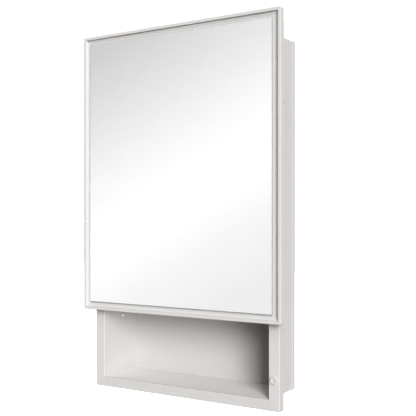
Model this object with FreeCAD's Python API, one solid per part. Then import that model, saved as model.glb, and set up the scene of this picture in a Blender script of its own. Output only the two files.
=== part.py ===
import FreeCAD, Part
import math
import os

# Recessed steel medicine cabinet: a folded sheet box with a wide front flange, a mirror door hinged
# on the left over its upper part, and an open shelf below the door.
# Frame: +X to the right as seen from the room, +Y into the wall, +Z up.
# Origin: centre of the back panel's rear face. All lengths are in millimetres.

Vector = FreeCAD.Vector

# --- driving dimensions: box and flange
SHEET = 0.9                 # steel sheet thickness
BOX_WIDTH = 350.0           # over the side walls
BOX_HEIGHT = 611.5          # over the top and bottom walls
DEPTH = 100.0               # back face to the flange's front face
FLANGE_OVERHANG = 19.0      # flange beyond the box at the sides and top
BOTTOM_OVERHANG = 17.5      # flange beyond the box at the bottom
RETURN_DEPTH = 16.0         # front face to the rear edge of the folded return
OPENING_BEND = 1.0          # outside radius where the wall turns into the flange
FLANGE_BEND = 1.0           # outside radius where the flange turns into its return
BACK_LIP = 9.0              # how far the back panel's lips wrap round the walls
BACK_BEND = 1.0             # outside radius of the back panel's bends
STUD_HOLE_RADIUS = 1.75     # holes in the side walls for screws into the studs
STUD_HOLE_Y = -42.0
STUD_HOLE_Z = 196.0

# --- driving dimensions: door
DOOR_WIDTH = 412.0
DOOR_HEIGHT = 513.0
DOOR_TOP = 336.75
DOOR_FRONT = -121.5         # front plane of the rim
DOOR_CORNER = 2.0           # corner radius seen from the front
RIM_WIDTH = 5.2
RIM_DEPTH = 11.0            # front plane to the rear edge of the door's outer return
RIM_BEND = 0.9              # outside radius of the rim's outer bend
RIM_INNER_BEND = 0.9
COVE_WALL = (1.0, 3.0)      # steep inner wall of the rim: width and depth
COVE_SLOPE = (5.3, 1.5)     # shallow slope at its foot: width and depth
COVE_BEND = 1.2             # radius between the wall and the slope
COVE_RUNOUT = 6.0           # radius between the slope and the plate
PLATE_START = 18.0          # door's outer edge to where its edge fold becomes the flat plate
MIRROR_BORDER = 15.0        # door edge to mirror edge
MIRROR_THICKNESS = 4.0
MIRROR_ARRIS = 0.5
PAD_THICKNESS = 0.8
PAD_COUNT = 6
PAD_HALF = (170.0, 12.0)    # half width and half height of one strip of tape
PAD_END_MARGIN = 30.0       # mirror edge to the middle of the first strip
DOOR_BACK = -106.0          # rear face of the door's back pan
BACK_PAN_INSET = 12.5       # back pan's walls inside the door's outer edge
BACK_PAN_CORNER = 3.0
BACK_PAN_FLANGE = 5.0       # flange turned inwards at the front of the back pan's walls
STIFFENER_SKIN = 0.8
STIFFENER_HALF = (165.0, 16.0)
STIFFENER_FOOT = 12.0
STIFFENER_OFFSET = 120.0    # from the door's middle height

# --- driving dimensions: hinge
HINGE_X = -195.0
HINGE_Y = -103.0
HINGE_LENGTH = 480.0
KNUCKLE_PITCH = 20.0
KNUCKLE_GAP = 0.4
KNUCKLE_RADIUS = 2.7
KNUCKLE_RELIEF = 0.4        # clearance of the notch round the other leaf's knuckles
PIN_RADIUS = 1.5
PIN_HEAD_RADIUS = 2.3
PIN_HEAD_HEIGHT = 1.2
RUNNING_CLEARANCE = 0.05
LEAF_THICKNESS = 1.0
LEAF_EDGE_X = -178.0
LEAF_RIVET_X = -184.5
CABINET_RIVET_OFFSETS = (-210, -105, 0, 105, 210)
DOOR_RIVET_OFFSETS = (-190, -85, 20, 125, 190)

# --- driving dimensions: rivets and screws
RIVET_SHANK = 1.5
RIVET_HEAD = 3.0
RIVET_TAIL_HEIGHT = 1.0
SCREW_RADIUS = 1.6
SCREW_HEAD_RADIUS = 3.2
SCREW_HEAD_HEIGHT = 2.0
SCREW_LENGTH = 10.0
SCREW_POINT = 2.5           # length of the screw's taper
SCREW_RECESS = (0.3, 2.0)   # half width and half length of each slot of the cross recess
SCREW_RECESS_DEPTH = 1.1

# --- driving dimensions: shelves
DIVIDER_TOP = -159.25
DIVIDER_RAIL = 18.0         # height of the divider's front rail
DIVIDER_END = 14.0          # height of its turned-down ends and rear edge
DIVIDER_BEND = 1.6
DIVIDER_HEM = 7.0           # depth of the hem under the rail
STANDARD_BOTTOM = -150.0
STANDARD_TOP = 296.0
STANDARD_WIDTH = 12.0
STANDARD_DEPTH = 3.0
STANDARD_SKIN = 0.8
STANDARD_BEND = 0.7
STANDARD_FRONT_Y = -80.0
STANDARD_REAR_Y = -22.0
SLOT_PITCH = 25.4
SLOT_COUNT = 17
SLOT_HALF = (3.5, 1.2)      # half width and half height of a slot
FIRST_SLOT = 12.0           # standard's lower end to the middle of its first slot
LOWER_SHELF_SLOT = 5
UPPER_SHELF_SLOT = 11
CLIP_WIDTH = 8.0
CLIP_REACH = 10.0
CLIP_HEIGHT = 9.0
CLIP_LEDGE = 1.6
CLIP_FOOT = 2.0
CLIP_RISE = 4.2             # slot middle to the top of the clip's ledge
TONGUE_HALF = (3.2, 1.0)    # half width and half height of the clip's tongue
TONGUE_REACH = 1.8          # tongue behind the standard's face
SHELF_THICKNESS = 5.0
SHELF_FRONT = -93.0
SHELF_REAR = -9.0
SHELF_SIDE_GAP = 1.6        # shelf end to the standards
SHELF_NOSE = 1.8            # radius of the front edge

# --- driving dimensions: catch, bumpers and button
CATCH_DEPTH = 14.0          # how far the housing stands off the side wall
CATCH_Y_FRONT = -103.0
CATCH_Y_REAR = -87.0
CATCH_MAGNET_REAR = -90.0
CATCH_HALF_HEIGHT = 15.0
CATCH_WALL = 3.0            # housing's walls round its pocket
CATCH_CORNER = 1.2
CATCH_EAR_HALF = 26.0
CATCH_EAR_Y = (-99.0, -89.0)
CATCH_SCREW_Y = -94.0
CATCH_SCREW_Z = 21.0
POLE_THICKNESS = 1.2
POLE_PROUD = 1.5            # pole plates in front of the housing
STRIKE_HALF = (9.0, 27.0)
STRIKE_THICKNESS = 1.2
STRIKE_CORNER = 2.0
STRIKE_OFFSET = 4.0         # standards' face to the middle of the strike plate
STRIKE_RIVET_HEAD = 2.6
BUMPER_X = 184.0
BUMPER_HEIGHTS = (300.0, -150.0)
BUMPER_RADIUS = 5.0
BUMPER_STEM = 1.5
BUMPER_STEM_LENGTH = 4.0
BUMPER_EDGE = 2.0           # size of its rounded edge
BUMPER_GAP = 0.3            # bumper to the closed door
BUTTON_X = 183.5
BUTTON_Z = -272.0
BUTTON_RADIUS = 7.25
BUTTON_STEM = 3.0
BUTTON_STEM_LENGTH = 5.0
BUTTON_HEIGHT = 1.8
BUTTON_EDGE = 1.2           # size of its rounded edge
BUTTON_RIM = 2.6            # outer edge to where the dish begins
BUTTON_DISH = 0.7           # depth of the dish

# --- derived dimensions
BOX_HALF_WIDTH = BOX_WIDTH / 2
BOX_HALF_HEIGHT = BOX_HEIGHT / 2
WALL_INSIDE = BOX_HALF_WIDTH - SHEET
FLANGE_FRONT = -DEPTH
DOOR_HALF_WIDTH = DOOR_WIDTH / 2
DOOR_BOTTOM = DOOR_TOP - DOOR_HEIGHT
DOOR_MIDDLE = (DOOR_TOP + DOOR_BOTTOM) / 2
MIRROR_PLATE = DOOR_FRONT + COVE_WALL[1] + COVE_SLOPE[1]
MIRROR_PLATE_REAR = MIRROR_PLATE + SHEET
STANDARD_FACE = WALL_INSIDE - STANDARD_DEPTH
STRIKE_X = STANDARD_FACE - STRIKE_OFFSET


def box(x_range, y_range, z_range):
    """Solid box between the given limits on each axis."""
    corner = Vector(x_range[0], y_range[0], z_range[0])
    size = [limits[1] - limits[0] for limits in (x_range, y_range, z_range)]
    return Part.makeBox(size[0], size[1], size[2], corner)


def door_box(inset, y_range):
    """Box as large as the door less an inset on all four edges."""
    half = DOOR_HALF_WIDTH - inset
    return box((-half, half), y_range, (DOOR_BOTTOM + inset, DOOR_TOP - inset))


def rod(radius, start, direction, length):
    """Cylinder from a start point along a direction."""
    return Part.makeCylinder(radius, length, Vector(*start), Vector(*direction))


def front_hole(radius, x, sheet_front, z):
    """Cutter for a hole along Y through one sheet."""
    return rod(radius, (x, sheet_front - 1, z), (0, 1, 0), SHEET + 2)


def side_hole(radius, y, z):
    """Cutter for a hole along X through the right side wall."""
    return rod(radius, (WALL_INSIDE - 1, y, z), (1, 0, 0), SHEET + 2)


def rounded_profile(points):
    """Closed face in the XY plane from (x, y, radius) corners, each corner rounded by its radius."""
    count = len(points)
    corners = []
    for index, (x, y, radius) in enumerate(points):
        here = Vector(x, y, 0)
        before = Vector(points[index - 1][0], points[index - 1][1], 0)
        after = Vector(points[(index + 1) % count][0], points[(index + 1) % count][1], 0)
        if radius == 0:
            corners.append((here, None, here))
            continue
        to_before = (before - here).normalize()
        to_after = (after - here).normalize()
        half_angle = to_before.getAngle(to_after) / 2
        reach = radius / math.tan(half_angle)
        bisector = (to_before + to_after).normalize()
        middle = here + bisector * (radius / math.sin(half_angle) - radius)
        corners.append((here + to_before * reach, middle, here + to_after * reach))
    edges = []
    for index, (start, middle, end) in enumerate(corners):
        if middle is not None:
            edges.append(Part.Arc(start, middle, end).toShape())
        next_start = corners[(index + 1) % count][0]
        if end.distanceToPoint(next_start) > 1e-6:
            edges.append(Part.LineSegment(end, next_start).toShape())
    return Part.Face(Part.Wire(edges))


def sheet_section(corners):
    """Closed section of a folded sheet from the (x, y, radius) corners of its outer face.

    The inner face lies one sheet thickness to the right of the path through the corners.
    """
    inner = []
    for index, (x, y, radius) in enumerate(corners):
        here = Vector(x, y, 0)
        headings = []
        if index > 0:
            headings.append((here - Vector(corners[index - 1][0], corners[index - 1][1], 0)).normalize())
        if index < len(corners) - 1:
            headings.append((Vector(corners[index + 1][0], corners[index + 1][1], 0) - here).normalize())
        normals = [Vector(heading.y, -heading.x, 0) for heading in headings]
        turns_inward = headings[0].cross(headings[-1]).z < 0
        across = (normals[0] + normals[-1]) * (SHEET / (1 + normals[0].dot(normals[-1])))
        inner_radius = radius
        if radius > 0:
            inner_radius = radius - SHEET if turns_inward else radius + SHEET
        inner.append((here.x + across.x, here.y + across.y, inner_radius))
    return rounded_profile(list(corners) + inner[::-1])


def turned(points, base, direction):
    """Solid of revolution from (radius, height) points or arcs, stood on base along direction.

    A point given as (radius, height, "arc") is the middle of an arc through its neighbours, and no arc
    ends on the axis.
    """
    edges = []
    index = 0
    while index < len(points) - 1:
        start = Vector(points[index][0], 0, points[index][1])
        if len(points[index + 1]) == 3:
            middle = Vector(points[index + 1][0], 0, points[index + 1][1])
            end = Vector(points[index + 2][0], 0, points[index + 2][1])
            edges.append(Part.Arc(start, middle, end).toShape())
            index += 2
        else:
            end = Vector(points[index + 1][0], 0, points[index + 1][1])
            edges.append(Part.LineSegment(start, end).toShape())
            index += 1
    first = Vector(points[0][0], 0, points[0][1])
    last = Vector(points[-1][0], 0, points[-1][1])
    edges.append(Part.LineSegment(last, first).toShape())
    face = Part.Face(Part.Wire(edges))
    solid = face.revolve(Vector(0, 0, 0), Vector(0, 0, 1), 360)
    solid.Placement = FreeCAD.Placement(Vector(*base), FreeCAD.Rotation(Vector(0, 0, 1), Vector(*direction)))
    return solid


def rivet(base, direction, grip, head=RIVET_HEAD):
    """Dome rivet: the head stands on base along direction, and the shank runs back through the grip."""
    tail = RIVET_SHANK * 1.6
    dome = head * 0.38
    outline = [
        (0, -grip - RIVET_TAIL_HEIGHT),
        (tail, -grip - RIVET_TAIL_HEIGHT),
        (tail, -grip),
        (RIVET_SHANK, -grip),
        (RIVET_SHANK, 0),
        (head, 0),
        (head * 0.76, head * 0.27, "arc"),
        (0.4, dome),
        (0, dome),
    ]
    return turned(outline, base, direction)


def fillet_where(shape, radius, test):
    """Round every edge whose end points both pass the test."""
    chosen = []
    for edge in shape.Edges:
        if all(test(vertex.Point) for vertex in edge.Vertexes):
            chosen.append(edge)
    return shape.makeFillet(radius, chosen)


def upright_corners(shape, radius):
    """Round the edges that run along Y."""
    chosen = []
    for edge in shape.Edges:
        ends = [vertex.Point for vertex in edge.Vertexes]
        if len(ends) == 2 and abs(ends[0].y - ends[1].y) > 1e-3 and abs(ends[0].x - ends[1].x) < 1e-6:
            chosen.append(edge)
    return shape.makeFillet(radius, chosen)


def union(shapes):
    """One solid from touching shapes."""
    joined = shapes[0]
    for shape in shapes[1:]:
        joined = joined.fuse(shape)
    return joined.removeSplitter()


def group(shapes):
    """Separate solids kept in one node."""
    return Part.makeCompound(shapes)


def save(name, shape):
    """Write one node's STEP file."""
    shape.exportStep("parts/" + name + ".step")
    state = "valid" if shape.isValid() else "INVALID"
    print(name, len(shape.Solids), "solid(s)", round(shape.Volume), "mm3", state)


# --- box walls with their flange

def folded_wall(box_half, overhang, low_end, high_end):
    """Wall, flange and return folded from one sheet, standing at +X and running along Z.

    box_half is the wall's outer distance from the centre, and overhang is how far the flange stands
    beyond it. Each end is (Z at the wall, Z at the flange's outer edge), and the sheet is cut along that
    line, where the next wall meets it.
    """
    inside = box_half - SHEET
    edge = box_half + overhang
    rear = -SHEET
    section = rounded_profile([
        (inside, rear, 0),
        (inside, FLANGE_FRONT, OPENING_BEND),
        (edge, FLANGE_FRONT, FLANGE_BEND),
        (edge, FLANGE_FRONT + RETURN_DEPTH, 0),
        (edge - SHEET, FLANGE_FRONT + RETURN_DEPTH, 0),
        (edge - SHEET, FLANGE_FRONT + SHEET, FLANGE_BEND - SHEET),
        (box_half, FLANGE_FRONT + SHEET, OPENING_BEND - SHEET),
        (box_half, rear, 0),
    ])
    section.translate(Vector(0, 0, low_end[1] - 1))
    wall = section.extrude(Vector(0, 0, high_end[1] - low_end[1] + 2))

    def mitre_point(end, across):
        slope = (end[1] - end[0]) / overhang
        return Vector(across, 1, end[0] + slope * (across - box_half))

    near = inside - 1
    far = edge + 1
    low_near = mitre_point(low_end, near)
    high_far = mitre_point(high_end, far)
    outline = [low_near, mitre_point(low_end, far), high_far, mitre_point(high_end, near), low_near]
    keep = Part.Face(Part.makePolygon(outline)).extrude(Vector(0, -DEPTH - 2, 0))
    return wall.common(keep)


def side_panels():
    """Left and right walls: stud holes in both, and the holes for the hinge, catch, bumpers and button."""
    low_end = (-BOX_HALF_HEIGHT, -BOX_HALF_HEIGHT - BOTTOM_OVERHANG)
    high_end = (BOX_HALF_HEIGHT, BOX_HALF_HEIGHT + FLANGE_OVERHANG)
    right = folded_wall(BOX_HALF_WIDTH, FLANGE_OVERHANG, low_end, high_end)
    for height in (-STUD_HOLE_Z, STUD_HOLE_Z):
        right = right.cut(side_hole(STUD_HOLE_RADIUS, STUD_HOLE_Y, height))
    left = right.mirror(Vector(0, 0, 0), Vector(1, 0, 0))
    for height in rivet_heights(CABINET_RIVET_OFFSETS):
        left = left.cut(front_hole(RIVET_SHANK, LEAF_RIVET_X, FLANGE_FRONT, height))
    for height in catch_screw_heights():
        right = right.cut(side_hole(SCREW_RADIUS, CATCH_SCREW_Y, height))
    for height in BUMPER_HEIGHTS:
        right = right.cut(front_hole(BUMPER_STEM, BUMPER_X, FLANGE_FRONT, height))
    right = right.cut(front_hole(BUTTON_STEM, BUTTON_X, FLANGE_FRONT, BUTTON_Z))
    return left, right


def end_panel(overhang):
    """Top wall with its flange as far beyond the box as given; the bottom wall is its mirror image."""
    low_end = (-BOX_HALF_WIDTH, -BOX_HALF_WIDTH - FLANGE_OVERHANG)
    high_end = (BOX_HALF_WIDTH, BOX_HALF_WIDTH + FLANGE_OVERHANG)
    panel = folded_wall(BOX_HALF_HEIGHT, overhang, low_end, high_end)
    panel.rotate(Vector(0, 0, 0), Vector(0, 1, 0), -90)
    return panel


def back_panel():
    """Shallow pan over the rear of the box, its lips outside the walls."""
    half_width = BOX_HALF_WIDTH + SHEET
    half_height = BOX_HALF_HEIGHT + SHEET
    pan = box((-half_width, half_width), (-SHEET - BACK_LIP, 0), (-half_height, half_height))
    pan = fillet_where(pan, BACK_BEND, lambda point: abs(point.y) < 1e-6)
    hollow = box((-BOX_HALF_WIDTH, BOX_HALF_WIDTH), (-DEPTH, -SHEET), (-BOX_HALF_HEIGHT, BOX_HALF_HEIGHT))
    return pan.cut(hollow)


def divider_shelf():
    """Fixed tray-shaped shelf: a front rail flush with the flange and turned-down ends and rear edge."""
    rail_bottom = DIVIDER_TOP - DIVIDER_RAIL
    end_bottom = DIVIDER_TOP - DIVIDER_END
    front = FLANGE_FRONT
    shelf = box((-WALL_INSIDE, WALL_INSIDE), (front, -SHEET), (rail_bottom, DIVIDER_TOP))

    def on_nose(point):
        return point.y < front + 1e-6 and point.z > DIVIDER_TOP - 1e-6

    shelf = fillet_where(shelf, DIVIDER_BEND, on_nose)
    under_half = WALL_INSIDE - SHEET
    under_z = (rail_bottom - 1, DIVIDER_TOP - SHEET)
    under = box((-under_half, under_half), (front + SHEET, -2 * SHEET), under_z)
    shelf = shelf.cut(under)
    for x_range in ((-WALL_INSIDE - 1, -under_half), (under_half, WALL_INSIDE + 1)):
        shelf = shelf.cut(box(x_range, (front + SHEET, 0), (rail_bottom - 1, end_bottom)))
    shelf = shelf.cut(box((-under_half, under_half), (-2 * SHEET - 1, 0), (rail_bottom - 1, end_bottom)))
    hem_y = (front + SHEET, front + DIVIDER_HEM)
    hem = box((-under_half, under_half), hem_y, (rail_bottom, rail_bottom + SHEET))
    return union([shelf, hem])


# --- adjustable shelves

def slot_height(index):
    """Centre height of one slot in a shelf standard."""
    return STANDARD_BOTTOM + FIRST_SLOT + index * SLOT_PITCH


def shelf_height(index):
    """Underside of a shelf whose clips sit in the given slot."""
    return slot_height(index) + CLIP_RISE


def shelf_standard(side, y_middle):
    """Slotted channel strip on a side wall; side is -1 for the left wall and 1 for the right."""
    low = y_middle - STANDARD_WIDTH / 2
    high = y_middle + STANDARD_WIDTH / 2
    strip = box((STANDARD_FACE, WALL_INSIDE), (low, high), (STANDARD_BOTTOM, STANDARD_TOP))
    strip = fillet_where(strip, STANDARD_BEND, lambda point: point.x < STANDARD_FACE + 1e-6)
    channel_x = (STANDARD_FACE + STANDARD_SKIN, WALL_INSIDE + 1)
    channel_y = (low + STANDARD_SKIN, high - STANDARD_SKIN)
    strip = strip.cut(box(channel_x, channel_y, (STANDARD_BOTTOM - 1, STANDARD_TOP + 1)))
    slot_x = (STANDARD_FACE - 1, STANDARD_FACE + 2 * STANDARD_SKIN)
    slot_y = (y_middle - SLOT_HALF[0], y_middle + SLOT_HALF[0])
    for index in range(SLOT_COUNT):
        middle = slot_height(index)
        strip = strip.cut(box(slot_x, slot_y, (middle - SLOT_HALF[1], middle + SLOT_HALF[1])))
    if side < 0:
        strip = strip.mirror(Vector(0, 0, 0), Vector(1, 0, 0))
    return strip


def shelf_clip(side, y_middle, height):
    """Steel clip: ledge under the shelf with a sloping gusset, and a tongue in the standard's slot."""
    y_start = y_middle - CLIP_WIDTH / 2
    tip = STANDARD_FACE - CLIP_REACH
    corners = [
        Vector(STANDARD_FACE, y_start, height),
        Vector(tip, y_start, height),
        Vector(tip, y_start, height - CLIP_LEDGE),
        Vector(STANDARD_FACE - CLIP_FOOT, y_start, height - CLIP_HEIGHT),
        Vector(STANDARD_FACE, y_start, height - CLIP_HEIGHT),
    ]
    clip = Part.Face(Part.makePolygon(corners + corners[:1])).extrude(Vector(0, CLIP_WIDTH, 0))
    slot_middle = height - CLIP_RISE
    tongue_y = (y_middle - TONGUE_HALF[0], y_middle + TONGUE_HALF[0])
    tongue_z = (slot_middle - TONGUE_HALF[1], slot_middle + TONGUE_HALF[1])
    tongue = box((STANDARD_FACE - 1, STANDARD_FACE + TONGUE_REACH), tongue_y, tongue_z)
    clip = union([clip, tongue])
    if side < 0:
        clip = clip.mirror(Vector(0, 0, 0), Vector(1, 0, 0))
    return clip


def shelf_clips(slot):
    """The four clips of one shelf."""
    height = shelf_height(slot)
    clips = []
    for side in (-1, 1):
        for y_middle in (STANDARD_FRONT_Y, STANDARD_REAR_Y):
            clips.append(shelf_clip(side, y_middle, height))
    return group(clips)


def glass_shelf(slot):
    """Glass shelf with a rounded front edge."""
    half = STANDARD_FACE - SHELF_SIDE_GAP
    height = shelf_height(slot)
    shelf = box((-half, half), (SHELF_FRONT, SHELF_REAR), (height, height + SHELF_THICKNESS))
    return fillet_where(shelf, SHELF_NOSE, lambda point: point.y < SHELF_FRONT + 1e-6)


# --- door

def rim_strip(half_across, half_along):
    """One side of the door's folded edge, mitred at both ends, at +X and running along Z.

    half_across and half_along are the door's half sizes across and along the strip.
    """
    rear = DOOR_FRONT + RIM_DEPTH
    rim_edge = half_across - RIM_WIDTH
    cove_edge = rim_edge - COVE_WALL[0]
    plate_edge = cove_edge - COVE_SLOPE[0]
    inner = half_across - PLATE_START
    section = sheet_section([
        (half_across, rear, 0),
        (half_across, DOOR_FRONT, RIM_BEND),
        (rim_edge, DOOR_FRONT, RIM_INNER_BEND),
        (cove_edge, DOOR_FRONT + COVE_WALL[1], COVE_BEND),
        (plate_edge, MIRROR_PLATE, COVE_RUNOUT),
        (inner, MIRROR_PLATE, 0),
    ])
    section.translate(Vector(0, 0, -half_along))
    strip = section.extrude(Vector(0, 0, 2 * half_along))
    outer_end = half_along + 1
    inner_end = half_along - PLATE_START
    outline = [
        Vector(half_across + 1, 0, -outer_end),
        Vector(half_across + 1, 0, outer_end),
        Vector(inner, 0, inner_end),
        Vector(inner, 0, -inner_end),
    ]
    keep = Part.Face(Part.makePolygon(outline + outline[:1])).extrude(Vector(0, 2 * DOOR_FRONT, 0))
    return strip.common(keep)


def door_front_pan():
    """Door face, one sheet thick: outer return, rim, coved step and the plate that carries the mirror."""
    half_height = DOOR_HEIGHT / 2
    right = rim_strip(DOOR_HALF_WIDTH, half_height)
    left = right.mirror(Vector(0, 0, 0), Vector(1, 0, 0))
    top = rim_strip(half_height, DOOR_HALF_WIDTH)
    top.rotate(Vector(0, 0, 0), Vector(0, 1, 0), -90)
    bottom = top.mirror(Vector(0, 0, 0), Vector(0, 0, 1))
    strips = [right, left, top, bottom]
    for strip in strips:
        strip.translate(Vector(0, 0, DOOR_MIDDLE))
    plate = door_box(PLATE_START, (MIRROR_PLATE, MIRROR_PLATE_REAR))
    pan = union([plate] + strips)
    return pan.common(upright_corners(door_box(0, (DOOR_FRONT - 1, 0)), DOOR_CORNER))


def door_back_pan():
    """Tray that closes the rear of the door, with an inward flange where it meets the mirror's plate."""
    front = MIRROR_PLATE_REAR
    tray = upright_corners(door_box(BACK_PAN_INSET, (front, DOOR_BACK)), BACK_PAN_CORNER)
    tray = fillet_where(tray, BACK_BEND, lambda point: point.y > DOOR_BACK - 1e-6)
    tray = tray.cut(door_box(BACK_PAN_INSET + SHEET, (front + SHEET, DOOR_BACK - SHEET)))
    tray = tray.cut(door_box(BACK_PAN_INSET + BACK_PAN_FLANGE, (front - 1, front + SHEET + 1)))
    for height in rivet_heights(DOOR_RIVET_OFFSETS):
        tray = tray.cut(front_hole(RIVET_SHANK, LEAF_RIVET_X, DOOR_BACK - SHEET, height))
    for height in catch_screw_heights():
        tray = tray.cut(front_hole(RIVET_SHANK, STRIKE_X, DOOR_BACK - SHEET, height))
    return tray


def mirror_glass():
    """Flat mirror with ground arris edges."""
    rear = MIRROR_PLATE - PAD_THICKNESS
    glass = door_box(MIRROR_BORDER, (rear - MIRROR_THICKNESS, rear))
    chosen = [edge for edge in glass.Edges if abs(edge.Vertexes[0].Y - edge.Vertexes[-1].Y) < 1e-6]
    return glass.makeChamfer(MIRROR_ARRIS, chosen)


def mirror_pads():
    """Foam tape strips between the mirror and its plate."""
    strips = []
    bottom = DOOR_BOTTOM + MIRROR_BORDER + PAD_END_MARGIN
    top = DOOR_TOP - MIRROR_BORDER - PAD_END_MARGIN
    for index in range(PAD_COUNT):
        middle = bottom + index * (top - bottom) / (PAD_COUNT - 1)
        z_range = (middle - PAD_HALF[1], middle + PAD_HALF[1])
        strips.append(box((-PAD_HALF[0], PAD_HALF[0]), (MIRROR_PLATE - PAD_THICKNESS, MIRROR_PLATE), z_range))
    return group(strips)


def door_stiffeners():
    """Two hat-section channels across the hollow of the door."""
    front = MIRROR_PLATE_REAR
    rear = DOOR_BACK - SHEET
    half_width, half_height = STIFFENER_HALF
    inside = half_height - STIFFENER_SKIN
    channels = []
    for middle in (DOOR_MIDDLE - STIFFENER_OFFSET, DOOR_MIDDLE + STIFFENER_OFFSET):
        hat = box((-half_width, half_width), (front, rear), (middle - half_height, middle + half_height))
        hollow_y = (front - 1, rear - STIFFENER_SKIN)
        hat = hat.cut(box((-half_width - 1, half_width + 1), hollow_y, (middle - inside, middle + inside)))
        for side in (-1, 1):
            near = middle + side * half_height
            far = near + side * STIFFENER_FOOT
            foot_y = (front, front + STIFFENER_SKIN)
            hat = hat.fuse(box((-half_width, half_width), foot_y, (min(near, far), max(near, far))))
        channels.append(hat.removeSplitter())
    return group(channels)


# --- hinge

def knuckle_ranges(parity):
    """Height ranges of every second knuckle along the hinge."""
    bottom = DOOR_MIDDLE - HINGE_LENGTH / 2
    count = round(HINGE_LENGTH / KNUCKLE_PITCH)
    ranges = []
    for index in range(parity, count, 2):
        low = bottom + index * KNUCKLE_PITCH + KNUCKLE_GAP / 2
        ranges.append((low, low + KNUCKLE_PITCH - KNUCKLE_GAP))
    return ranges


def rivet_heights(offsets):
    """Heights of a row of rivets given from the door's middle."""
    return [DOOR_MIDDLE + offset for offset in offsets]


def hinge_leaf(y_range, parity, bore, offsets):
    """Leaf plate with its rolled knuckles, notched where the other leaf's knuckles turn."""
    half = HINGE_LENGTH / 2
    heights = (DOOR_MIDDLE - half, DOOR_MIDDLE + half)
    leaf = box((HINGE_X, LEAF_EDGE_X), y_range, heights)
    relief = KNUCKLE_RADIUS + KNUCKLE_RELIEF
    for low, high in knuckle_ranges(1 - parity):
        notch_z = (low - KNUCKLE_GAP, high + KNUCKLE_GAP)
        leaf = leaf.cut(box((HINGE_X - relief, HINGE_X + relief), (y_range[0] - 1, y_range[1] + 1), notch_z))
    for low, high in knuckle_ranges(parity):
        leaf = leaf.fuse(rod(KNUCKLE_RADIUS, (HINGE_X, HINGE_Y, low), (0, 0, 1), high - low))
    leaf = leaf.removeSplitter()
    leaf = leaf.cut(rod(bore, (HINGE_X, HINGE_Y, heights[0] - 1), (0, 0, 1), HINGE_LENGTH + 2))
    for height in rivet_heights(offsets):
        leaf = leaf.cut(front_hole(RIVET_SHANK, LEAF_RIVET_X, y_range[0], height))
    return leaf


def hinge_pin():
    """Steel pin with a small domed head at each end."""
    bottom = DOOR_MIDDLE - HINGE_LENGTH / 2
    shoulder = (PIN_HEAD_RADIUS * 0.74, PIN_HEAD_HEIGHT * 0.7)
    flat = 0.5
    outline = [
        (0, -PIN_HEAD_HEIGHT),
        (flat, -PIN_HEAD_HEIGHT),
        (shoulder[0], -shoulder[1], "arc"),
        (PIN_HEAD_RADIUS, 0),
        (PIN_RADIUS, 0),
        (PIN_RADIUS, HINGE_LENGTH),
        (PIN_HEAD_RADIUS, HINGE_LENGTH),
        (shoulder[0], HINGE_LENGTH + shoulder[1], "arc"),
        (flat, HINGE_LENGTH + PIN_HEAD_HEIGHT),
        (0, HINGE_LENGTH + PIN_HEAD_HEIGHT),
    ]
    return turned(outline, (HINGE_X, HINGE_Y, bottom), (0, 0, 1))


def rivet_row(x, base_y, direction, grip, offsets, head=RIVET_HEAD):
    """Rivets in a vertical row, at heights given from the door's middle."""
    rivets = []
    for height in rivet_heights(offsets):
        rivets.append(rivet((x, base_y, height), direction, grip, head))
    return group(rivets)


# --- catch, strike, bumpers and button

def catch_screw_heights():
    """Heights of the catch's two screws, and of the strike plate's two rivets."""
    return (DOOR_MIDDLE - CATCH_SCREW_Z, DOOR_MIDDLE + CATCH_SCREW_Z)


def catch_pocket_heights():
    """Height range of the housing's pocket, which holds the magnet and the pole plates."""
    half = CATCH_HALF_HEIGHT - CATCH_WALL
    return (DOOR_MIDDLE - half, DOOR_MIDDLE + half)


def catch_housing():
    """Plastic body of the magnetic catch with two screw ears on the side wall."""
    outer = WALL_INSIDE - CATCH_DEPTH
    heights = (DOOR_MIDDLE - CATCH_HALF_HEIGHT, DOOR_MIDDLE + CATCH_HALF_HEIGHT)
    body = box((outer, WALL_INSIDE), (CATCH_Y_FRONT, CATCH_Y_REAR), heights)
    body = fillet_where(body, CATCH_CORNER, lambda point: point.x < outer + 0.1)
    ear_heights = (DOOR_MIDDLE - CATCH_EAR_HALF, DOOR_MIDDLE + CATCH_EAR_HALF)
    ears = box((WALL_INSIDE - CATCH_WALL, WALL_INSIDE), CATCH_EAR_Y, ear_heights)
    body = union([body, ears])
    pocket_x = (outer + CATCH_WALL, WALL_INSIDE - CATCH_WALL)
    pocket = box(pocket_x, (CATCH_Y_FRONT - 1, CATCH_MAGNET_REAR), catch_pocket_heights())
    body = body.cut(pocket)
    for height in catch_screw_heights():
        start = (outer - 1, CATCH_SCREW_Y, height)
        body = body.cut(rod(SCREW_RADIUS, start, (1, 0, 0), CATCH_DEPTH + 2))
    return body


def catch_magnet():
    """Ferrite block between the pole plates."""
    margin = CATCH_WALL + POLE_THICKNESS
    x_range = (WALL_INSIDE - CATCH_DEPTH + margin, WALL_INSIDE - margin)
    return box(x_range, (CATCH_Y_FRONT, CATCH_MAGNET_REAR), catch_pocket_heights())


def catch_pole_plates():
    """Two steel plates that reach forward to the strike plate."""
    plates = []
    for near in (WALL_INSIDE - CATCH_DEPTH + CATCH_WALL, WALL_INSIDE - CATCH_WALL - POLE_THICKNESS):
        y_range = (CATCH_Y_FRONT - POLE_PROUD, CATCH_MAGNET_REAR)
        plates.append(box((near, near + POLE_THICKNESS), y_range, catch_pocket_heights()))
    return group(plates)


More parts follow.
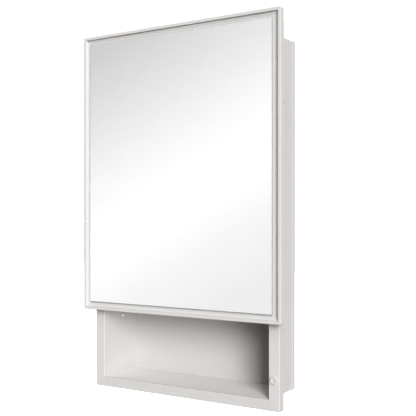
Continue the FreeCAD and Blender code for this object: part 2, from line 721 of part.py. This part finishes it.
def catch_screws():
    """Pan-head screws with a cross recess, from the catch's ears into the side wall."""
    outline = [
        (0, -SCREW_LENGTH),
        (0.4, -SCREW_LENGTH),
        (SCREW_RADIUS, -SCREW_LENGTH + SCREW_POINT),
        (SCREW_RADIUS, 0),
        (SCREW_HEAD_RADIUS, 0),
        (SCREW_HEAD_RADIUS - 0.3, SCREW_HEAD_HEIGHT * 0.7, "arc"),
        (SCREW_HEAD_RADIUS - 1.5, SCREW_HEAD_HEIGHT),
        (0, SCREW_HEAD_HEIGHT),
    ]
    head_base = WALL_INSIDE - CATCH_WALL
    head_top = head_base - SCREW_HEAD_HEIGHT
    screws = []
    for height in catch_screw_heights():
        screw = turned(outline, (head_base, CATCH_SCREW_Y, height), (-1, 0, 0))
        for half_y, half_z in (SCREW_RECESS, SCREW_RECESS[::-1]):
            y_range = (CATCH_SCREW_Y - half_y, CATCH_SCREW_Y + half_y)
            z_range = (height - half_z, height + half_z)
            screw = screw.cut(box((head_top - 0.1, head_top + SCREW_RECESS_DEPTH), y_range, z_range))
        screws.append(screw)
    return group(screws)


def strike_plate():
    """Steel plate on the door's back that the catch's magnet holds."""
    half_width, half_height = STRIKE_HALF
    x_range = (STRIKE_X - half_width, STRIKE_X + half_width)
    z_range = (DOOR_MIDDLE - half_height, DOOR_MIDDLE + half_height)
    plate = box(x_range, (DOOR_BACK, DOOR_BACK + STRIKE_THICKNESS), z_range)
    plate = upright_corners(plate, STRIKE_CORNER)
    for height in catch_screw_heights():
        plate = plate.cut(front_hole(RIVET_SHANK, STRIKE_X, DOOR_BACK, height))
    return plate


def door_bumpers():
    """Rubber buttons pushed into the right flange, where the closed door's back stops."""
    height = FLANGE_FRONT - DOOR_BACK - BUMPER_GAP
    stem = -BUMPER_STEM_LENGTH
    outline = [
        (0, stem),
        (BUMPER_STEM - 0.2, stem),
        (BUMPER_STEM, stem + 1),
        (BUMPER_STEM, 0),
        (BUMPER_RADIUS, 0),
        (BUMPER_RADIUS, height - BUMPER_EDGE),
        (BUMPER_RADIUS - 0.3 * BUMPER_EDGE, height - 0.3 * BUMPER_EDGE, "arc"),
        (BUMPER_RADIUS - BUMPER_EDGE, height),
        (0, height),
    ]
    return group([turned(outline, (BUMPER_X, FLANGE_FRONT, z), (0, -1, 0)) for z in BUMPER_HEIGHTS])


def jamb_button():
    """Round dished button snapped into a hole in the right flange."""
    stem = -BUTTON_STEM_LENGTH
    bottom = BUTTON_HEIGHT - BUTTON_DISH
    dish_edge = BUTTON_RADIUS - BUTTON_RIM
    flat = 0.5
    outline = [
        (0, stem),
        (BUTTON_STEM - 1, stem),
        (BUTTON_STEM, stem + 1.5),
        (BUTTON_STEM, 0),
        (BUTTON_RADIUS, 0),
        (BUTTON_RADIUS, BUTTON_HEIGHT - BUTTON_EDGE),
        (BUTTON_RADIUS - 0.3 * BUTTON_EDGE, BUTTON_HEIGHT - 0.3 * BUTTON_EDGE, "arc"),
        (BUTTON_RADIUS - BUTTON_EDGE, BUTTON_HEIGHT),
        (dish_edge, BUTTON_HEIGHT),
        ((dish_edge + flat) / 2, bottom + 0.25 * BUTTON_DISH, "arc"),
        (flat, bottom),
        (0, bottom),
    ]
    return turned(outline, (BUTTON_X, FLANGE_FRONT, BUTTON_Z), (0, -1, 0))


# --- the nodes

def save_cabinet():
    """Walls, back, divider and the shelf standards."""
    left, right = side_panels()
    save("left_side_panel", left)
    save("right_side_panel", right)
    save("top_panel", end_panel(FLANGE_OVERHANG))
    save("bottom_panel", end_panel(BOTTOM_OVERHANG).mirror(Vector(0, 0, 0), Vector(0, 0, 1)))
    save("back_panel", back_panel())
    save("divider_shelf", divider_shelf())
    for side, side_name in ((-1, "left"), (1, "right")):
        save("shelf_standard_" + side_name + "_front", shelf_standard(side, STANDARD_FRONT_Y))
        save("shelf_standard_" + side_name + "_rear", shelf_standard(side, STANDARD_REAR_Y))


def save_shelves():
    """Glass shelves and their clips."""
    for name, slot in (("upper", UPPER_SHELF_SLOT), ("lower", LOWER_SHELF_SLOT)):
        save(name + "_shelf_clips", shelf_clips(slot))
        save(name + "_glass_shelf", glass_shelf(slot))


def save_door():
    """Door pans, mirror, tape and stiffeners."""
    save("door_front_pan", door_front_pan())
    save("door_back_pan", door_back_pan())
    save("mirror_glass", mirror_glass())
    save("mirror_pads", mirror_pads())
    save("door_stiffeners", door_stiffeners())


def save_hinge():
    """Hinge leaves, pin and rivets."""
    cabinet_leaf_y = (FLANGE_FRONT - LEAF_THICKNESS, FLANGE_FRONT)
    door_leaf_y = (DOOR_BACK, DOOR_BACK + LEAF_THICKNESS)
    grip = LEAF_THICKNESS + SHEET
    cabinet_leaf = hinge_leaf(cabinet_leaf_y, 0, PIN_RADIUS, CABINET_RIVET_OFFSETS)
    door_leaf = hinge_leaf(door_leaf_y, 1, PIN_RADIUS + RUNNING_CLEARANCE, DOOR_RIVET_OFFSETS)
    cabinet_rivets = rivet_row(LEAF_RIVET_X, cabinet_leaf_y[0], (0, -1, 0), grip, CABINET_RIVET_OFFSETS)
    door_rivets = rivet_row(LEAF_RIVET_X, door_leaf_y[1], (0, 1, 0), grip, DOOR_RIVET_OFFSETS)
    save("hinge_cabinet_leaf", cabinet_leaf)
    save("hinge_door_leaf", door_leaf)
    save("hinge_pin", hinge_pin())
    save("hinge_cabinet_rivets", cabinet_rivets)
    save("hinge_door_rivets", door_rivets)


def save_catch():
    """Magnetic catch, its strike plate, the door's bumpers and the button."""
    strike_offsets = (-CATCH_SCREW_Z, CATCH_SCREW_Z)
    base = DOOR_BACK + STRIKE_THICKNESS
    grip = STRIKE_THICKNESS + SHEET
    strike_rivets = rivet_row(STRIKE_X, base, (0, 1, 0), grip, strike_offsets, STRIKE_RIVET_HEAD)
    save("catch_housing", catch_housing())
    save("catch_magnet", catch_magnet())
    save("catch_pole_plates", catch_pole_plates())
    save("catch_screws", catch_screws())
    save("strike_plate", strike_plate())
    save("strike_rivets", strike_rivets)
    save("door_bumpers", door_bumpers())
    save("jamb_button", jamb_button())


os.makedirs("parts", exist_ok=True)
save_cabinet()
save_shelves()
save_door()
save_hinge()
save_catch()
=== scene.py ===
import math

import bmesh
import bpy
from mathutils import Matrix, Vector


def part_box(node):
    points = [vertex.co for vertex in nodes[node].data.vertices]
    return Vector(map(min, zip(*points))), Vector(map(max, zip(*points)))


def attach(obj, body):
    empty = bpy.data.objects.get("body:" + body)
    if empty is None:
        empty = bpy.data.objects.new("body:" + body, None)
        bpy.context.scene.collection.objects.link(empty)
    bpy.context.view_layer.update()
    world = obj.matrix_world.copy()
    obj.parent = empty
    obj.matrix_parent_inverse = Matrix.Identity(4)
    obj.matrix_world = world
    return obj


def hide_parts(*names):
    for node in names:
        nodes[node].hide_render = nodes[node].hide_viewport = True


# Looks for a recessed steel medicine cabinet with a mirror door over an open shelf.
# Metres, in the CAD frame: +X right as seen from the room, +Y into the wall, +Z up.
# Angles are in degrees, colours are linear RGBA, and noise scales are in features per metre.

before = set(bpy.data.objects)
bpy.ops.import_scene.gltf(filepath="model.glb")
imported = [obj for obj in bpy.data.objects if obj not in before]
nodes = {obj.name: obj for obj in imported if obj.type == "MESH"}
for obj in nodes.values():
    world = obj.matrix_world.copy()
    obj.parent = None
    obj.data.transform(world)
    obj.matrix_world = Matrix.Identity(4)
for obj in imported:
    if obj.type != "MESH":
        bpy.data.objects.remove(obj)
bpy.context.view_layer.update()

MM = 0.001

# Most noise lies between these two values.
NOISE_LOW = 0.35
NOISE_HIGH = 0.65

# Paint. Behind the flange, the walls and the bottom panel carry painted shade and painted
# light.
WHITE_PAINT = (0.466, 0.458, 0.45, 1)
# Painted shade: a darker, warmer copy of the white coat for the shaded interior of the
# cabinet.
INSIDE_PAINTED_SHADE = (0.45, 0.434, 0.427, 1)
# Painted light: the open shelf's floor is coloured far lighter than the coat, for light
# falling on it.
SHELF_FLOOR_PAINTED_LIGHT = (0.715, 0.704, 0.692, 1)
# Painted shade: the bottom flange is a darker copy of the white coat, for light falling off
# downwards.
LOW_FLANGE_PAINTED_SHADE = (0.446, 0.437, 0.427, 1)
FLANGE_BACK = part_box("bottom_panel")[0].y + 1.5 * MM
PAINTED_INSIDE_BLEND = 2 * MM

WHITE_PLASTIC = (0.74, 0.74, 0.73, 1)
BUTTON_PLASTIC = (0.455, 0.448, 0.44, 1)

MIRROR_ARRIS = 0.7 * MM

# Studio
FLOOR_SIZE = 60
FLOOR_LEVEL = -2.5
FLOOR_GLOW = 1.0
LIGHT_DISTANCE = 3
EVEN_FILL = 0.07
BACKDROP_STRENGTH = 1.05

# Band of light that the mirror sees: the normal of its plane, its strength, and its level at
# places across it, from 0 on one side over 0.5 in the plane to 1 on the other side.
BAND_NORMAL = (0.424, -0.308, -0.852)
BAND_STRENGTH = 1.12
BAND_MIDDLE = 0.5
BAND_LEVELS = (
    (0.0, 0.3),
    (0.286, 0.615),
    (0.357, 0.76),
    (0.41, 0.87),
    (0.485, 1.0),
    (0.515, 1.0),
    (0.575, 0.893),
    (0.656, 0.82),
    (1.0, 0.76),
)

# Camera; sensor and lens are in millimetres.
SENSOR_WIDTH = 36
LENS_LENGTH = 63.36
LENS_RISE = 0.0232
CAMERA_PLACE = (0.718, -1.1869, -0.0034)
CAMERA_TURN = 31.32
CAMERA_REACH = 100


# --- node helpers

class Shader:
    """A new node-based material with its Principled shader and a few ways to drive it."""

    def __init__(self, name, colour, roughness, metallic=0.0, specular=0.5):
        self.material = bpy.data.materials.new(name)
        self.material.use_nodes = True
        self.tree = self.material.node_tree
        self.shader = self.tree.nodes["Principled BSDF"]
        self.set("Base Color", colour)
        self.set("Roughness", roughness)
        self.set("Metallic", metallic)
        self.set("Specular IOR Level", specular)
        self.place = self.add("ShaderNodeTexCoord").outputs["Object"]

    def set(self, socket, value):
        self.shader.inputs[socket].default_value = value

    def add(self, kind, **settings):
        node = self.tree.nodes.new(kind)
        for key, value in settings.items():
            setattr(node, key, value)
        return node

    def link(self, start, end):
        self.tree.links.new(start, end)

    def noise(self, scale, detail=3.0, stretch=(1, 1, 1)):
        """Noise in object space."""
        mapping = self.add("ShaderNodeMapping")
        mapping.inputs["Scale"].default_value = stretch
        self.link(self.place, mapping.inputs["Vector"])
        node = self.add("ShaderNodeTexNoise")
        node.inputs["Scale"].default_value = scale
        node.inputs["Detail"].default_value = detail
        self.link(mapping.outputs["Vector"], node.inputs["Vector"])
        return node.outputs["Fac"]

    def spread(self, value, low, high, start=NOISE_LOW, end=NOISE_HIGH):
        """Value mapped from start..end to low..high, and held there outside it."""
        node = self.add("ShaderNodeMapRange")
        node.inputs["From Min"].default_value = start
        node.inputs["From Max"].default_value = end
        node.inputs["To Min"].default_value = low
        node.inputs["To Max"].default_value = high
        self.link(value, node.inputs["Value"])
        return node.outputs["Result"]

    def tint(self, value, colour_a, colour_b):
        """Two colours mixed by a value."""
        node = self.add("ShaderNodeMix", data_type="RGBA")
        self.link(value, node.inputs["Factor"])
        node.inputs["A"].default_value = colour_a
        node.inputs["B"].default_value = colour_b
        return node.outputs["Result"]

    def blend(self, value, source_a, source_b):
        """Two colour outputs mixed by a value."""
        node = self.add("ShaderNodeMix", data_type="RGBA")
        self.link(value, node.inputs["Factor"])
        self.link(source_a, node.inputs["A"])
        self.link(source_b, node.inputs["B"])
        return node.outputs["Result"]

    def colour(self, source):
        self.link(source, self.shader.inputs["Base Color"])

    def mottle(self, value, colour_a, colour_b):
        """Colour the surface with two colours mixed by a noise."""
        self.colour(self.tint(self.spread(value, 0, 1), colour_a, colour_b))

    def roughness(self, source):
        self.link(source, self.shader.inputs["Roughness"])

    def bump(self, height, distance, strength):
        """Relief from a height value."""
        node = self.add("ShaderNodeBump")
        node.inputs["Distance"].default_value = distance
        node.inputs["Strength"].default_value = strength
        self.link(height, node.inputs["Height"])
        self.link(node.outputs["Normal"], self.shader.inputs["Normal"])


def shade(colour, factor):
    """The colour made lighter or darker."""
    return tuple(part * factor for part in colour[:3]) + (1,)


# --- materials

def powder_coat(name, colour, inside=None):
    """Satin powder coat: a fine orange-peel skin over slow, faint changes of tone.

    inside is painted light and shade put behind the flange; the two blend just behind it.
    """
    paint = Shader(name, colour, 0.62, specular=0.22)
    tone = paint.spread(paint.noise(9, detail=2), 0, 1)
    coat = paint.tint(tone, shade(colour, 0.99), shade(colour, 1.01))
    if inside is not None:
        # Behind the flange the coat gives way to the painted light and shade passed in as
        # inside.
        axes = paint.add("ShaderNodeSeparateXYZ")
        paint.link(paint.place, axes.inputs["Vector"])
        painted_inside_mask = paint.spread(axes.outputs["Y"], 0, 1, FLANGE_BACK, FLANGE_BACK + PAINTED_INSIDE_BLEND)
        inner_painted_tone = paint.tint(tone, shade(inside, 0.99), shade(inside, 1.01))
        coat = paint.blend(painted_inside_mask, coat, inner_painted_tone)
    paint.colour(coat)
    paint.roughness(paint.spread(paint.noise(60), 0.57, 0.68))
    paint.bump(paint.noise(700, detail=1), distance=0.006 * MM, strength=0.35)
    return paint.material


def zinc_plate(name):
    """Zinc plating with a faint drawn grain along the strip and cloudy patches."""
    zinc = Shader(name, (0.62, 0.62, 0.63, 1), 0.34, metallic=1.0)
    zinc.mottle(zinc.noise(70, detail=4), (0.47, 0.475, 0.485, 1), (0.54, 0.54, 0.538, 1))
    zinc.roughness(zinc.spread(zinc.noise(180), 0.38, 0.48))
    zinc.bump(zinc.noise(1500, stretch=(1, 1, 0.04)), distance=0.01 * MM, strength=0.5)
    return zinc.material


def bare_aluminium(name):
    """Soft aluminium rivet heads with fine scuffs."""
    metal = Shader(name, (0.72, 0.72, 0.73, 1), 0.3, metallic=1.0)
    metal.mottle(metal.noise(500), (0.64, 0.64, 0.65, 1), (0.78, 0.78, 0.79, 1))
    metal.roughness(metal.spread(metal.noise(900), 0.24, 0.42))
    metal.bump(metal.noise(2600), distance=0.01 * MM, strength=0.5)
    return metal.material


def moulded_plastic(name, colour, roughness):
    """Moulded plastic with a fine spark-eroded texture."""
    plastic = Shader(name, colour, roughness)
    plastic.mottle(plastic.noise(120), shade(colour, 0.97), shade(colour, 1.02))
    plastic.roughness(plastic.spread(plastic.noise(700), roughness - 0.05, roughness + 0.07))
    plastic.bump(plastic.noise(2200, detail=2), distance=0.012 * MM, strength=0.5)
    return plastic.material


def foam_tape(name):
    """Closed-cell foam: small dented pores in a matte surface, with painted shade in the
    pores.
    """
    foam = Shader(name, (0.62, 0.62, 0.6, 1), 0.9, specular=0.2)
    cells = foam.add("ShaderNodeTexVoronoi")
    cells.inputs["Scale"].default_value = 1400
    foam.link(foam.place, cells.inputs["Vector"])
    pores = foam.spread(cells.outputs["Distance"], 0, 1, start=0.0, end=0.6)
    # Painted shade: the pores are coloured darker where the bump dents them.
    foam.colour(foam.tint(pores, (0.5, 0.5, 0.48, 1), (0.68, 0.68, 0.66, 1)))
    foam.bump(pores, distance=0.1 * MM, strength=0.7)
    return foam.material


def rubber(name):
    """Pale rubber with a dull skin."""
    skin = Shader(name, (0.6, 0.6, 0.57, 1), 0.62, specular=0.35)
    skin.mottle(skin.noise(300), (0.55, 0.55, 0.52, 1), (0.64, 0.64, 0.61, 1))
    skin.roughness(skin.spread(skin.noise(800), 0.55, 0.72))
    skin.bump(skin.noise(1800), distance=0.02 * MM, strength=0.5)
    return skin.material


def ferrite(name):
    """Pressed ferrite: dark, slightly gritty."""
    block = Shader(name, (0.045, 0.045, 0.05, 1), 0.6)
    block.mottle(block.noise(900), (0.03, 0.03, 0.034, 1), (0.07, 0.07, 0.075, 1))
    block.roughness(block.spread(block.noise(1300), 0.45, 0.75))
    block.bump(block.noise(2400), distance=0.03 * MM, strength=0.6)
    return block.material


def clear_glass(name):
    """Float glass with the green of its iron and faint surface marks."""
    glass = Shader(name, (0.93, 0.975, 0.955, 1), 0.02)
    glass.set("Transmission Weight", 1.0)
    glass.set("IOR", 1.5)
    glass.roughness(glass.spread(glass.noise(35, detail=4), 0.0, 0.035))
    glass.bump(glass.noise(18, detail=1), distance=0.01 * MM, strength=0.1)
    return glass.material


def mirror_silver(name):
    """Silvered glass seen from the front: nearly perfect, with the faintest haze."""
    silver = Shader(name, (0.93, 0.935, 0.935, 1), 0.008, metallic=1.0)
    haze = silver.noise(25, detail=4)
    silver.roughness(silver.spread(haze, 0.0, 0.02))
    silver.mottle(haze, (0.926, 0.928, 0.928, 1), (0.936, 0.938, 0.938, 1))
    return silver.material


def mirror_edge(name):
    """Ground and polished edge of silvered glass: dark grey-green with fine grinding lines."""
    edge = Shader(name, (0.27, 0.275, 0.262, 1), 0.22)
    streaks = edge.noise(900, stretch=(1, 6, 0.05))
    edge.mottle(streaks, (0.23, 0.236, 0.224, 1), (0.32, 0.326, 0.312, 1))
    edge.roughness(edge.spread(streaks, 0.16, 0.34))
    edge.bump(streaks, distance=0.01 * MM, strength=0.4)
    return edge.material


def mirror_backing(name):
    """Grey protective paint on the mirror's back."""
    backing = Shader(name, (0.2, 0.21, 0.22, 1), 0.55)
    backing.mottle(backing.noise(90), (0.17, 0.18, 0.19, 1), (0.23, 0.24, 0.25, 1))
    backing.roughness(backing.spread(backing.noise(400), 0.48, 0.65))
    backing.bump(backing.noise(1200), distance=0.02 * MM, strength=0.5)
    return backing.material


def dress(material, *names):
    """Give CAD nodes one material."""
    for name in names:
        slots = nodes[name].data.materials
        slots.clear()
        slots.append(material)


dress(
    powder_coat("white_powder_coat", WHITE_PAINT),
    "divider_shelf", "door_front_pan", "door_back_pan",
)
# The back, the door stiffeners and the shelf standards take the painted-shade copy of the
# coat.
dress(
    powder_coat("inner_painted_shade_coat", INSIDE_PAINTED_SHADE),
    "back_panel", "door_stiffeners",
    "shelf_standard_left_front", "shelf_standard_left_rear",
    "shelf_standard_right_front", "shelf_standard_right_rear",
)
dress(
    zinc_plate("zinc_plate"),
    "hinge_cabinet_leaf", "hinge_door_leaf", "hinge_pin",
    "upper_shelf_clips", "lower_shelf_clips",
    "catch_pole_plates", "catch_screws", "strike_plate",
)
dress(
    bare_aluminium("rivet_aluminium"),
    "hinge_cabinet_rivets", "hinge_door_rivets", "strike_rivets",
)
# The walls and the bottom panel turn to painted shade and painted light behind the flange.
dress(
    powder_coat("wall_coat_painted_shade_behind_flange", WHITE_PAINT, inside=INSIDE_PAINTED_SHADE),
    "left_side_panel", "right_side_panel", "top_panel",
)
dress(powder_coat("bottom_coat_painted_light_and_shade", LOW_FLANGE_PAINTED_SHADE, inside=SHELF_FLOOR_PAINTED_LIGHT), "bottom_panel")
dress(moulded_plastic("white_plastic", WHITE_PLASTIC, roughness=0.5), "catch_housing")
dress(moulded_plastic("button_plastic", BUTTON_PLASTIC, roughness=0.45), "jamb_button")
dress(ferrite("ferrite"), "catch_magnet")
dress(foam_tape("foam_tape"), "mirror_pads")
dress(rubber("pale_rubber"), "door_bumpers")
dress(clear_glass("shelf_glass"), "upper_glass_shelf", "lower_glass_shelf")


# --- mirror

def mirror_pane():
    """Mirror with a bevelled arris all round; silver, ground edge and painted back differ."""
    low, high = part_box("mirror_glass")
    mesh = bmesh.new()

    def ring(inset, y):
        corners = [
            (low.x + inset, y, low.z + inset),
            (high.x - inset, y, low.z + inset),
            (high.x - inset, y, high.z - inset),
            (low.x + inset, y, high.z - inset),
        ]
        return [mesh.verts.new(corner) for corner in corners]

    rings = [
        ring(MIRROR_ARRIS, low.y),
        ring(0, low.y + MIRROR_ARRIS),
        ring(0, high.y - MIRROR_ARRIS),
        ring(MIRROR_ARRIS, high.y),
    ]
    silver, edge, backing = range(3)
    mesh.faces.new(rings[0]).material_index = silver
    for near, far in zip(rings, rings[1:]):
        for index in range(4):
            after = (index + 1) % 4
            side = mesh.faces.new((near[index], far[index], far[after], near[after]))
            side.material_index = edge
    mesh.faces.new(list(reversed(rings[-1]))).material_index = backing
    bmesh.ops.recalc_face_normals(mesh, faces=mesh.faces)
    data = bpy.data.meshes.new("mirror_pane")
    mesh.to_mesh(data)
    mesh.free()
    pane = bpy.data.objects.new("mirror_pane", data)
    bpy.context.scene.collection.objects.link(pane)
    data.materials.append(mirror_silver("mirror_silver"))
    data.materials.append(mirror_edge("mirror_edge"))
    data.materials.append(mirror_backing("mirror_backing"))
    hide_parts("mirror_glass")
    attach(pane, "door")


mirror_pane()


# --- studio

def pale_floor():
    """Plain white floor far below the hung cabinet; it sheds no light and no shadow on it."""
    bpy.ops.mesh.primitive_plane_add(size=FLOOR_SIZE, location=(0, 0, FLOOR_LEVEL))
    floor = bpy.context.object
    floor.name = "floor"
    paper = Shader("floor_white", (0.9, 0.9, 0.9, 1), 0.9, specular=0.1)
    paper.mottle(paper.noise(3), (0.89, 0.89, 0.89, 1), (0.91, 0.91, 0.91, 1))
    paper.set("Emission Color", (1, 1, 1, 1))
    paper.set("Emission Strength", FLOOR_GLOW)
    floor.data.materials.append(paper.material)
    floor.visible_glossy = False
    floor.visible_diffuse = False
    floor.visible_shadow = False


def soft_sun(name, azimuth, elevation, strength, spread=22):
    """Distant soft light, kept out of reflections.

    azimuth is measured from straight in front towards the right; spread is how wide it looks.
    """
    data = bpy.data.lights.new(name, "SUN")
    data.energy = strength
    data.angle = math.radians(spread)
    light = bpy.data.objects.new(name, data)
    light.visible_glossy = False
    bpy.context.scene.collection.objects.link(light)
    turn = math.radians(azimuth)
    rise = math.radians(elevation)
    level = math.cos(rise)
    towards = Vector((math.sin(turn) * level, -math.cos(turn) * level, math.sin(rise)))
    light.location = towards * LIGHT_DISTANCE
    light.rotation_euler = (-towards).to_track_quat("-Z", "Y").to_euler()


def studio_world():
    """White surroundings: an even fill for the paint, and for the mirror a soft band of light.

    The band is brightest in a plane through the cabinet, and falls off slowly on both sides.
    """
    world = bpy.data.worlds.new("studio")
    bpy.context.scene.world = world
    world.use_nodes = True
    tree = world.node_tree
    tree.nodes.clear()

    def background(strength, colour=(1, 1, 1, 1)):
        node = tree.nodes.new("ShaderNodeBackground")
        node.inputs["Color"].default_value = colour
        node.inputs["Strength"].default_value = strength
        return node

    def choose(ray, otherwise, seen):
        """One shader for rays of this kind, the other shader for the rest."""
        node = tree.nodes.new("ShaderNodeMixShader")
        tree.links.new(path.outputs[ray], node.inputs["Fac"])
        tree.links.new(otherwise, node.inputs[1])
        tree.links.new(seen, node.inputs[2])
        return node.outputs["Shader"]

    place = tree.nodes.new("ShaderNodeTexCoord")
    across = tree.nodes.new("ShaderNodeVectorMath")
    across.operation = "DOT_PRODUCT"
    across.inputs[1].default_value = BAND_NORMAL
    tree.links.new(place.outputs["Generated"], across.inputs[0])
    shift = tree.nodes.new("ShaderNodeMath")
    shift.operation = "ADD"
    shift.inputs[1].default_value = BAND_MIDDLE
    tree.links.new(across.outputs["Value"], shift.inputs[0])
    ramp = tree.nodes.new("ShaderNodeValToRGB")
    tree.links.new(shift.outputs["Value"], ramp.inputs["Fac"])
    elements = ramp.color_ramp.elements
    while len(elements) < len(BAND_LEVELS):
        elements.new(BAND_MIDDLE)
    for element, (position, level) in zip(elements, BAND_LEVELS):
        element.position = position
        element.color = (level, level, level, 1)

    band = background(BAND_STRENGTH)
    tree.links.new(ramp.outputs["Color"], band.inputs["Color"])
    even = background(EVEN_FILL)
    backdrop = background(BACKDROP_STRENGTH)
    path = tree.nodes.new("ShaderNodeLightPath")
    light = choose("Is Glossy Ray", even.outputs["Background"], band.outputs["Background"])
    surroundings = choose("Is Camera Ray", light, backdrop.outputs["Background"])
    output = tree.nodes.new("ShaderNodeOutputWorld")
    tree.links.new(surroundings, output.inputs["Surface"])


def studio_camera():
    """Level camera to the right of the cabinet, at about half its height."""
    data = bpy.data.cameras.new("camera")
    data.sensor_width = SENSOR_WIDTH
    data.lens = LENS_LENGTH
    data.shift_y = LENS_RISE
    data.clip_end = CAMERA_REACH
    camera = bpy.data.objects.new("camera", data)
    bpy.context.scene.collection.objects.link(camera)
    camera.location = CAMERA_PLACE
    camera.rotation_euler = (math.radians(90), 0, math.radians(CAMERA_TURN))
    bpy.context.scene.camera = camera


pale_floor()
soft_sun("key", azimuth=42, elevation=20, strength=3.32)
soft_sun("low_key", azimuth=52, elevation=0, strength=1.80)
soft_sun("middle_key", azimuth=42, elevation=10, strength=0.80)
soft_sun("high_key", azimuth=30, elevation=48, strength=0.92)
soft_sun("rear", azimuth=-135, elevation=-22, strength=2.0, spread=60)
studio_world()
studio_camera()
bpy.context.scene.view_settings.view_transform = "Standard"
